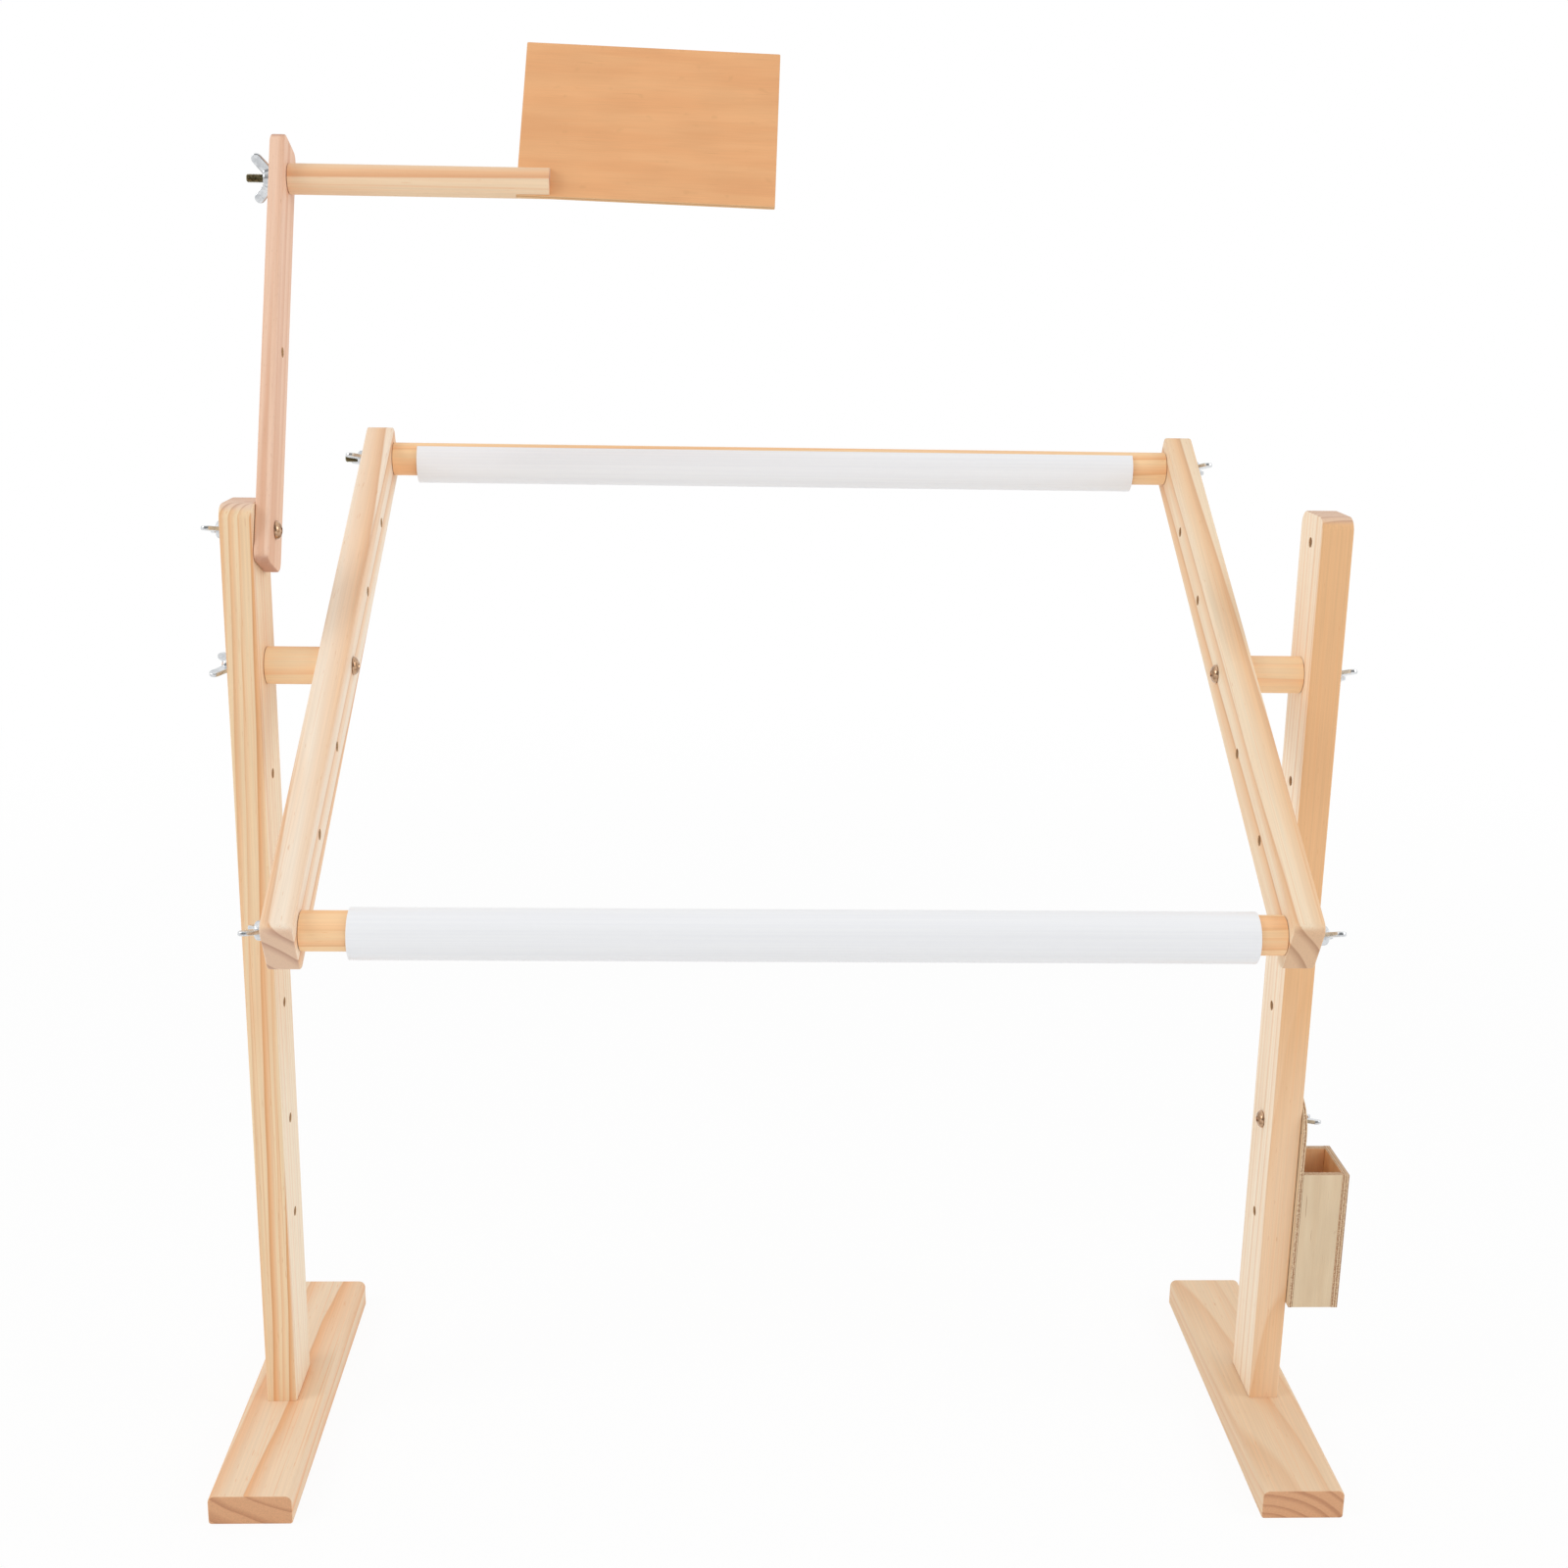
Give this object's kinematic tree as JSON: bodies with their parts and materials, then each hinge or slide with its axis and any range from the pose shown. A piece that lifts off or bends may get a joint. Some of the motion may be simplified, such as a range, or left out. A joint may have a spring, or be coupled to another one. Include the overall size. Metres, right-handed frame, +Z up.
{
  "type": "needlework scroll frame floor stand",
  "caption": "Floor-standing wooden scroll frame: tilting side rails, turning cloth rods with clip-on channels, a swinging pattern board and a hanging tool box.",
  "frame": {"origin": "on the floor, at the centre of the whole stand's bounding box as it stands at rest", "axes": "+X to the stitcher's right along the rods, +Y away from the stitcher, +Z up"},
  "size_m": [0.8148, 0.4594, 0.9986],
  "materials": {
    "pine": "planed and sanded bare softwood with wide growth rings",
    "dowel_wood": "turned bare dowel",
    "arm_wood": "planed bare hardwood",
    "board_ply": "thin sanded plywood",
    "box_ply": "sawn plywood with bare layered edges",
    "zinc_steel": "bright zinc plate",
    "yellow_zinc_steel": "yellow passivated zinc plate",
    "white_pvc": "satin extruded plastic"
  },
  "bodies": {
    "stand": {"foot_left": "pine", "foot_right": "pine", "post_left": "pine", "post_right": "pine", "spacer_left": "dowel_wood", "spacer_right": "dowel_wood", "foot_screw_left_front": "zinc_steel", "foot_screw_left_rear": "zinc_steel", "foot_screw_right_front": "zinc_steel", "foot_screw_right_rear": "zinc_steel", "box_bolt": "yellow_zinc_steel"},
    "frame": {"side_rail_left": "pine", "side_rail_right": "pine", "pivot_bolt_left": "yellow_zinc_steel", "pivot_bolt_right": "yellow_zinc_steel"},
    "front_roller": {"front_rod": "dowel_wood", "front_stud_left": "yellow_zinc_steel", "front_stud_right": "yellow_zinc_steel"},
    "rear_roller": {"rear_rod": "dowel_wood", "rear_stud_left": "yellow_zinc_steel", "rear_stud_right": "yellow_zinc_steel"},
    "front_channel": {"front_clip": "white_pvc"},
    "rear_channel": {"rear_clip": "white_pvc"},
    "arm": {"pattern_arm": "arm_wood", "arm_bolt": "yellow_zinc_steel"},
    "holder": {"holder_dowel": "dowel_wood", "holder_stud": "yellow_zinc_steel", "pattern_board": "board_ply"},
    "tool_box": {"box_back_plate": "box_ply", "box_front": "box_ply", "box_rear": "box_ply", "box_bottom": "box_ply", "box_side": "box_ply"},
    "pivot_nut_left": {"pivot_wing_nut_left": "zinc_steel"},
    "pivot_nut_right": {"pivot_wing_nut_right": "zinc_steel"},
    "front_nut_left": {"front_wing_nut_left": "zinc_steel"},
    "front_nut_right": {"front_wing_nut_right": "zinc_steel"},
    "rear_nut_left": {"rear_wing_nut_left": "zinc_steel"},
    "rear_nut_right": {"rear_wing_nut_right": "zinc_steel"},
    "arm_nut": {"arm_wing_nut": "zinc_steel"},
    "holder_nut": {"holder_wing_nut": "zinc_steel"},
    "box_nut": {"box_wing_nut": "zinc_steel"}
  },
  "joints": [
    {"name": "frame_tilt", "type": "hinge", "parent": "stand", "child": "frame", "pos_m": [0, 0, 0.577], "axis": [1, 0, 0], "continuous": true},
    {"name": "front_roller_turn", "type": "hinge", "parent": "frame", "child": "front_roller", "pos_m": [0, -0.20722, 0.45591], "axis": [1, 0, 0], "continuous": true},
    {"name": "rear_roller_turn", "type": "hinge", "parent": "frame", "child": "rear_roller", "pos_m": [0, 0.20722, 0.69809], "axis": [1, 0, 0], "continuous": true},
    {"name": "front_channel_slide", "type": "slide", "parent": "front_roller", "child": "front_channel", "axis": [1, 0, 0], "range_m": [-0.028, 0.016]},
    {"name": "rear_channel_slide", "type": "slide", "parent": "rear_roller", "child": "rear_channel", "axis": [1, 0, 0], "range_m": [-0.018, 0.026]},
    {"name": "arm_lean", "type": "hinge", "parent": "stand", "child": "arm", "pos_m": [-0.36405, 0, 0.67], "axis": [-1, 0, 0], "range_deg": [-97.5, 52.5]},
    {"name": "holder_turn", "type": "hinge", "parent": "arm", "child": "holder", "pos_m": [-0.36405, 0.09567, 0.90097], "axis": [-1, 0, 0], "range_deg": [-75, 75]},
    {"name": "tool_box_swing", "type": "hinge", "parent": "stand", "child": "tool_box", "pos_m": [0.37165, 0, 0.24], "axis": [1, 0, 0], "range_deg": [-90, 90]},
    {"name": "pivot_nut_left_turn", "type": "hinge", "parent": "frame", "child": "pivot_nut_left", "pos_m": [-0.39165, 0, 0.577], "axis": [1, 0, 0], "continuous": true},
    {"name": "pivot_nut_right_turn", "type": "hinge", "parent": "frame", "child": "pivot_nut_right", "pos_m": [0.37015, 0, 0.577], "axis": [1, 0, 0], "continuous": true},
    {"name": "front_nut_left_turn", "type": "hinge", "parent": "front_roller", "child": "front_nut_left", "pos_m": [-0.33105, -0.20722, 0.45591], "axis": [1, 0, 0], "continuous": true},
    {"name": "front_nut_right_turn", "type": "hinge", "parent": "front_roller", "child": "front_nut_right", "pos_m": [0.30955, -0.20722, 0.45591], "axis": [1, 0, 0], "continuous": true},
    {"name": "rear_nut_left_turn", "type": "hinge", "parent": "rear_roller", "child": "rear_nut_left", "pos_m": [-0.33105, 0.20722, 0.69809], "axis": [1, 0, 0], "continuous": true},
    {"name": "rear_nut_right_turn", "type": "hinge", "parent": "rear_roller", "child": "rear_nut_right", "pos_m": [0.30955, 0.20722, 0.69809], "axis": [1, 0, 0], "continuous": true},
    {"name": "arm_nut_turn", "type": "hinge", "parent": "arm", "child": "arm_nut", "pos_m": [-0.39165, 0, 0.67], "axis": [1, 0, 0], "continuous": true},
    {"name": "holder_nut_turn", "type": "hinge", "parent": "holder", "child": "holder_nut", "pos_m": [-0.36935, 0.09567, 0.90097], "axis": [1, 0, 0], "continuous": true},
    {"name": "box_nut_turn", "type": "hinge", "parent": "stand", "child": "box_nut", "pos_m": [0.37345, 0, 0.24], "axis": [1, 0, 0], "continuous": true}
  ]
}
